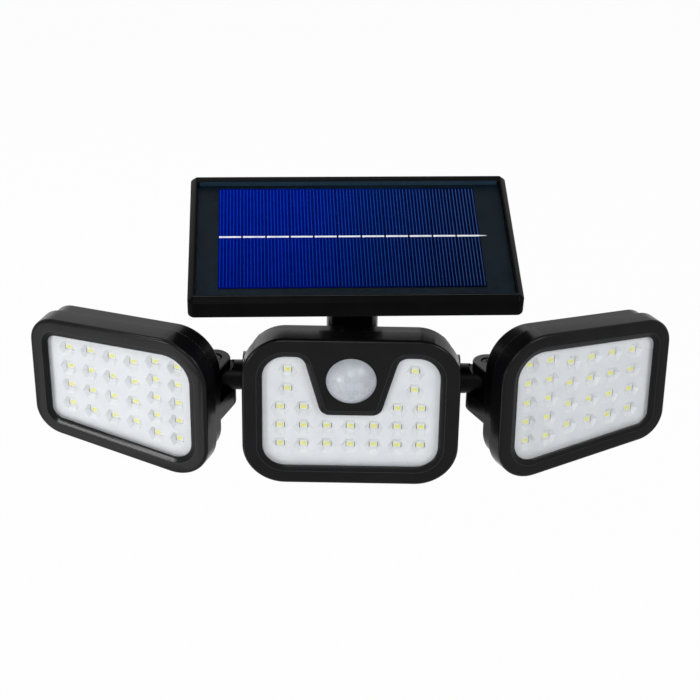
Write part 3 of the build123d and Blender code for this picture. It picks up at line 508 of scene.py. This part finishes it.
def ledPackage():
    cup = cubeOf("ledPackage", (led["wide"], led["deep"], led["tall"]), (0, led["deep"] / 2, 0))
    cup.data.materials.append(ledResin)
    cup.data.materials.append(ledPhosphor)
    bpy.ops.object.mode_set(mode="EDIT")
    bpy.ops.mesh.select_mode(type="EDGE")
    bpy.ops.mesh.select_all(action="DESELECT")
    shape = bmesh.from_edit_mesh(cup.data)
    for edge in shape.edges:
        edge.select_set(abs(edge.verts[0].co.y - edge.verts[1].co.y) > 0.5 * led["deep"] * mm)
    bmesh.update_edit_mesh(cup.data)
    bpy.ops.mesh.bevel(offset=led["corner"] * mm, segments=2)
    selectFaces(cup, lambda face: face.normal.y < -squarely)
    bpy.ops.mesh.inset(thickness=led["rim"] * mm)
    bpy.ops.mesh.extrude_region_move(TRANSFORM_OT_translate={"value": (0, led["sink"] * mm, 0)})
    cup.active_material_index = 1
    bpy.ops.object.material_slot_assign()
    bpy.ops.object.mode_set(mode="OBJECT")
    return cup


# where the LEDs sit: rows with a gap for the sensor in the centre head, columns of four or five in the side heads
centreGrid = {"foot": -18.0, "rowStep": 9.54, "rows": 5, "columnStep": 10.6, "columns": 7, "besideDome": 28.5}
sideGrid = {"columnStep": 11.2, "columns": [(4, 10.2), (4, 10.85), (4, 10.85), (4, 10.85), (5, 9.75), (5, 9.75)]}
centreRows = [centreGrid["foot"] + centreGrid["rowStep"] * k for k in range(centreGrid["rows"])]
centreColumns = [(i - (centreGrid["columns"] - 1) // 2) * centreGrid["columnStep"]
                 for i in range(centreGrid["columns"])]
ledSpots = {"centre": [(x, z) for z in centreRows[:2] for x in centreColumns]}
ledSpots["centre"] += [(x, centreRows[2]) for x in centreColumns[:2] + centreColumns[-2:]]
ledSpots["centre"] += [(side * centreGrid["besideDome"], z) for z in centreRows[3:] for side in (-1, 1)]
middleColumn = (len(sideGrid["columns"]) - 1) / 2
ledSpots["right"] = [((middleColumn - j) * sideGrid["columnStep"], (k - (count - 1) / 2) * step)
                     for j, (count, step) in enumerate(sideGrid["columns"]) for k in range(count)]
ledSpots["left"] = [(-x, z) for x, z in ledSpots["right"]]

heads = (("centre", "lamp", lampPlace), ("left", "left_head", headPlace["left"]),
         ("right", "right_head", headPlace["right"]))


# reflector plates: shallow six-sided cups that come close to each LED above and below it
cups = {"floor": -0.3, "above": 0.01, "depthShare": 0.75, "slot": (2.2, 1.85), "slotFit": 0.84, "smoothAngle": 10}


def selectVerts(obj, wanted):
    shape = bmesh.from_edit_mesh(obj.data)
    for vert in shape.verts:
        vert.select_set(wanted(vert.co / mm))
    shape.select_flush_mode()
    bmesh.update_edit_mesh(obj.data)


for side, body, place in heads:
    plate = mergedCopy(side + "_reflector", place, False)
    bpy.ops.object.mode_set(mode="EDIT")
    bpy.ops.mesh.select_mode(type="VERT")
    selectVerts(plate, lambda co: co.y < cups["floor"] - cups["above"])
    bpy.ops.transform.resize(value=(1, cups["depthShare"], 1), center_override=(0, cups["floor"] * mm, 0))
    for x, z in ledSpots[side]:
        selectVerts(plate, lambda co: abs(co.x - x) < cups["slot"][0] and abs(co.z - z) < cups["slot"][1])
        bpy.ops.transform.resize(value=(1, 1, cups["slotFit"]), center_override=(x * mm, 0, z * mm))
    bpy.ops.object.mode_set(mode="OBJECT")
    bpy.ops.object.shade_smooth_by_angle(angle=math.radians(cups["smoothAngle"]))
    placed(plate, place, body, "reflector", side + "_reflector")
print("reflector plates made")

onePackage = ledPackage()
for side, body, place in heads:
    copies = []
    for x, z in ledSpots[side]:
        pick(onePackage)
        bpy.ops.object.duplicate()
        bpy.context.object.data.transform(shifted(x, 0, z))
        copies.append(bpy.context.object)
    placed(joined(copies, side + "LedPackages"), place, body, "led", side + "_leds")
bpy.data.objects.remove(onePackage)
print("LED packages made:", sum(len(spots) for spots in ledSpots.values()))


# studio: pale floor well below the lamp, soft lamps and a white surround
studio = {"floor": -0.40, "floorSize": 8, "floorGlow": 0.97, "ambient": 0.32, "aim": (0, -0.09, 0.05),
          "lamps": [("frontLamp", (-0.15, -1.03, 0.70), 0.40, 2.4), ("fillLamp", (0.95, -0.85, 0.85), 0.60, 7.4),
                    ("edgeLamp", (-0.91, -0.89, 0.065), 0.20, 3.6), ("topLamp", (-0.61, -0.28, 0.76), 0.09, 1.2),
                    ("lowLamp", (-0.50, -0.36, -0.30), 0.25, 0.35), ("rearLamp", (-0.40, 1.20, 0.60), 1.20, 3.6)]}


# 1 where the camera looks straight at a thing, sees it mirrored or sees it through a cover, else 0
def seenByEye(tree):
    rays = addNode(tree, "ShaderNodeLightPath").outputs
    seen = rays["Is Camera Ray"]
    for other in ("Is Glossy Ray", "Is Transmission Ray"):
        seen = addNode(tree, "ShaderNodeMath", {"operation": "MAXIMUM"}, {0: seen, 1: rays[other]}).outputs[0]
    return seen


bpy.ops.object.select_all(action="DESELECT")
bpy.ops.mesh.primitive_plane_add(size=studio["floorSize"], location=(0, 0, studio["floor"]))
floor = bpy.context.object
floor.name = "studioFloor"
# white painted floor: it glows nearly white to the eye, and takes light and a faint shadow as paint does
floorPaint = bpy.data.materials.new("whiteFloorPaint")
floorPaint.use_nodes = True
tree = floorPaint.node_tree
tree.nodes.clear()
paint = addNode(tree, "ShaderNodeBsdfDiffuse", inputs={"Color": hexColour("#F4F4F4")})
glow = addNode(tree, "ShaderNodeEmission", inputs={"Color": (1, 1, 1, 1), "Strength": 1.0})
share = addNode(tree, "ShaderNodeMath", {"operation": "MULTIPLY"}, {0: seenByEye(tree), 1: studio["floorGlow"]})
both = addNode(tree, "ShaderNodeMixShader", inputs={0: share.outputs[0], 1: paint.outputs[0], 2: glow.outputs[0]})
addNode(tree, "ShaderNodeOutputMaterial", inputs={"Surface": both.outputs[0]})
floor.data.materials.append(floorPaint)

world = bpy.data.worlds.new("studioSurround")
bpy.context.scene.world = world
world.use_nodes = True
tree = world.node_tree
tree.nodes.clear()
soft = addNode(tree, "ShaderNodeBackground", inputs={"Color": hexColour("#F2F5FA"), "Strength": studio["ambient"]})
white = addNode(tree, "ShaderNodeBackground", inputs={"Color": (1, 1, 1, 1), "Strength": 1.0})
both = addNode(tree, "ShaderNodeMixShader", inputs={0: seenByEye(tree), 1: soft.outputs[0], 2: white.outputs[0]})
addNode(tree, "ShaderNodeOutputWorld", inputs={"Surface": both.outputs[0]})

for name, place, size, power in studio["lamps"]:
    bpy.ops.object.light_add(type="AREA", location=place)
    lamp = bpy.context.object
    lamp.name = name
    lamp.data.shape = "SQUARE"
    lamp.data.size = size
    lamp.data.energy = power
    towards = Vector(studio["aim"]) - lamp.location
    lamp.rotation_euler = towards.to_track_quat("-Z", "Y").to_euler()
print("studio set")
